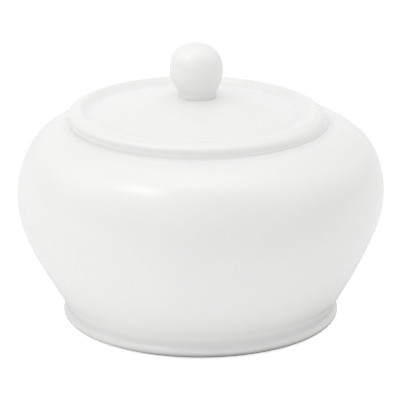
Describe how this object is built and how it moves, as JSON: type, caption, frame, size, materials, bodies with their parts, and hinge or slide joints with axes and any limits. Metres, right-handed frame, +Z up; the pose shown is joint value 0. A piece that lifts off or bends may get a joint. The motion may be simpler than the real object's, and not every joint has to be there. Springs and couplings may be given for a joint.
{
  "type": "sugar bowl",
  "caption": "Squat round porcelain sugar bowl on a rolled foot, with a loose lid that has a raised rim, a locating flange underneath and a ball knob to lift it by.",
  "frame": {"origin": "on the bowl's axis, in the plane the foot ring stands on", "axes": "+Z up along the bowl's axis, the way the lid lifts; X and Y are level, and the lid rests 1.4 mm towards -X inside the play of its flange"},
  "size_m": [0.12, 0.12, 0.0926],
  "materials": {
    "white_glaze": "smooth high-gloss white glaze over porcelain, soft orange peel, bare matt biscuit on the standing ring"
  },
  "bodies": {
    "bowl": {"bowl": "white_glaze"},
    "lid": {"lid": "white_glaze", "knob": "white_glaze"}
  },
  "joints": [
    {"name": "lid_lift", "type": "slide", "parent": "bowl", "child": "lid", "axis": [0, 0, 1], "range_m": [0, 0.013]}
  ]
}
